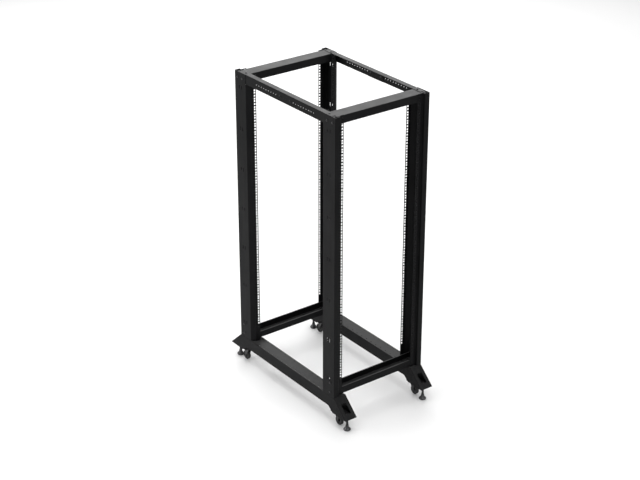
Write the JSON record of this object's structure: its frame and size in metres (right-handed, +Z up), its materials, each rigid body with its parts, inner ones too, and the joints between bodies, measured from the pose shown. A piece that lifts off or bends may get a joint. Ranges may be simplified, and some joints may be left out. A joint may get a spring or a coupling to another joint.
{
  "type": "open-frame four-post server rack",
  "caption": "Open-frame four-post 19-inch equipment rack on outrigger legs with levelling feet and swivel casters.",
  "frame": {"origin": "on the floor under the middle of the rack, at the soles of its levelling feet", "axes": "+X to the rack's right seen from the front, -Y to the front, +Z up"},
  "size_m": [0.5766, 1.016, 1.6743],
  "materials": {
    "black_coat": "fine semi-gloss black powder coat",
    "bracket_coat": "satin black powder coat",
    "black_screws": "black oxide",
    "dark_hardware": "black zinc plating",
    "wheel_plastic": "moulded black nylon",
    "tyre": "moulded black tread",
    "sole_rubber": "black rubber"
  },
  "bodies": {
    "frame": {"beam_nuts": "black_screws", "beam_screws": "black_screws", "bottom_crossbeam_front": "black_coat", "bottom_crossbeam_rear": "black_coat", "caster_heads": "dark_hardware", "clamp_screws": "black_screws", "corner_brackets": "bracket_coat", "foot_lock_nuts": "dark_hardware", "foot_weld_nuts": "dark_hardware", "kingpins": "dark_hardware", "leg_plate_front_left": "black_coat", "leg_plate_front_right": "black_coat", "leg_plate_rear_left": "black_coat", "leg_plate_rear_right": "black_coat", "post_front_left": "black_coat", "post_front_right": "black_coat", "post_rear_left": "black_coat", "post_rear_right": "black_coat", "post_shoes": "bracket_coat", "side_beam_left": "black_coat", "side_beam_right": "black_coat", "side_nuts": "black_screws", "side_screws": "black_screws", "top_crossbeam_front": "black_coat", "top_crossbeam_rear": "black_coat", "top_nuts": "black_screws", "top_rail_left_front": "black_coat", "top_rail_left_rear": "black_coat", "top_rail_right_front": "black_coat", "top_rail_right_rear": "black_coat", "top_screws": "black_screws"},
    "foot_front_left": {"foot_stem_front_left": "dark_hardware", "foot_sole_front_left": "sole_rubber"},
    "caster_front_left": {"caster_fork_front_left": "dark_hardware", "caster_axle_front_left": "dark_hardware"},
    "wheel_front_left": {"wheel_hub_front_left": "wheel_plastic", "wheel_tyre_front_left": "tyre"},
    "foot_front_right": {"foot_stem_front_right": "dark_hardware", "foot_sole_front_right": "sole_rubber"},
    "caster_front_right": {"caster_fork_front_right": "dark_hardware", "caster_axle_front_right": "dark_hardware"},
    "wheel_front_right": {"wheel_hub_front_right": "wheel_plastic", "wheel_tyre_front_right": "tyre"},
    "foot_rear_left": {"foot_stem_rear_left": "dark_hardware", "foot_sole_rear_left": "sole_rubber"},
    "caster_rear_left": {"caster_fork_rear_left": "dark_hardware", "caster_axle_rear_left": "dark_hardware"},
    "wheel_rear_left": {"wheel_hub_rear_left": "wheel_plastic", "wheel_tyre_rear_left": "tyre"},
    "foot_rear_right": {"foot_stem_rear_right": "dark_hardware", "foot_sole_rear_right": "sole_rubber"},
    "caster_rear_right": {"caster_fork_rear_right": "dark_hardware", "caster_axle_rear_right": "dark_hardware"},
    "wheel_rear_right": {"wheel_hub_rear_right": "wheel_plastic", "wheel_tyre_rear_right": "tyre"}
  },
  "joints": [
    {"name": "foot_height_front_left", "type": "slide", "parent": "frame", "child": "foot_front_left", "axis": [0, 0, -1], "range_m": [-0.008, 0.02]},
    {"name": "caster_swivel_front_left", "type": "hinge", "parent": "frame", "child": "caster_front_left", "pos_m": [-0.2485, -0.4, 0.07], "axis": [0, 0, 1], "continuous": true},
    {"name": "wheel_roll_front_left", "type": "hinge", "parent": "caster_front_left", "child": "wheel_front_left", "pos_m": [-0.2485, -0.414, 0.0265], "axis": [1, 0, 0], "continuous": true},
    {"name": "foot_height_front_right", "type": "slide", "parent": "frame", "child": "foot_front_right", "axis": [0, 0, -1], "range_m": [-0.008, 0.02]},
    {"name": "caster_swivel_front_right", "type": "hinge", "parent": "frame", "child": "caster_front_right", "pos_m": [0.2485, -0.4, 0.07], "axis": [0, 0, 1], "continuous": true},
    {"name": "wheel_roll_front_right", "type": "hinge", "parent": "caster_front_right", "child": "wheel_front_right", "pos_m": [0.2485, -0.414, 0.0265], "axis": [1, 0, 0], "continuous": true},
    {"name": "foot_height_rear_left", "type": "slide", "parent": "frame", "child": "foot_rear_left", "axis": [0, 0, -1], "range_m": [-0.008, 0.02]},
    {"name": "caster_swivel_rear_left", "type": "hinge", "parent": "frame", "child": "caster_rear_left", "pos_m": [-0.2485, 0.4, 0.07], "axis": [0, 0, 1], "continuous": true},
    {"name": "wheel_roll_rear_left", "type": "hinge", "parent": "caster_rear_left", "child": "wheel_rear_left", "pos_m": [-0.2485, 0.414, 0.0265], "axis": [1, 0, 0], "continuous": true},
    {"name": "foot_height_rear_right", "type": "slide", "parent": "frame", "child": "foot_rear_right", "axis": [0, 0, -1], "range_m": [-0.008, 0.02]},
    {"name": "caster_swivel_rear_right", "type": "hinge", "parent": "frame", "child": "caster_rear_right", "pos_m": [0.2485, 0.4, 0.07], "axis": [0, 0, 1], "continuous": true},
    {"name": "wheel_roll_rear_right", "type": "hinge", "parent": "caster_rear_right", "child": "wheel_rear_right", "pos_m": [0.2485, 0.414, 0.0265], "axis": [1, 0, 0], "continuous": true}
  ]
}
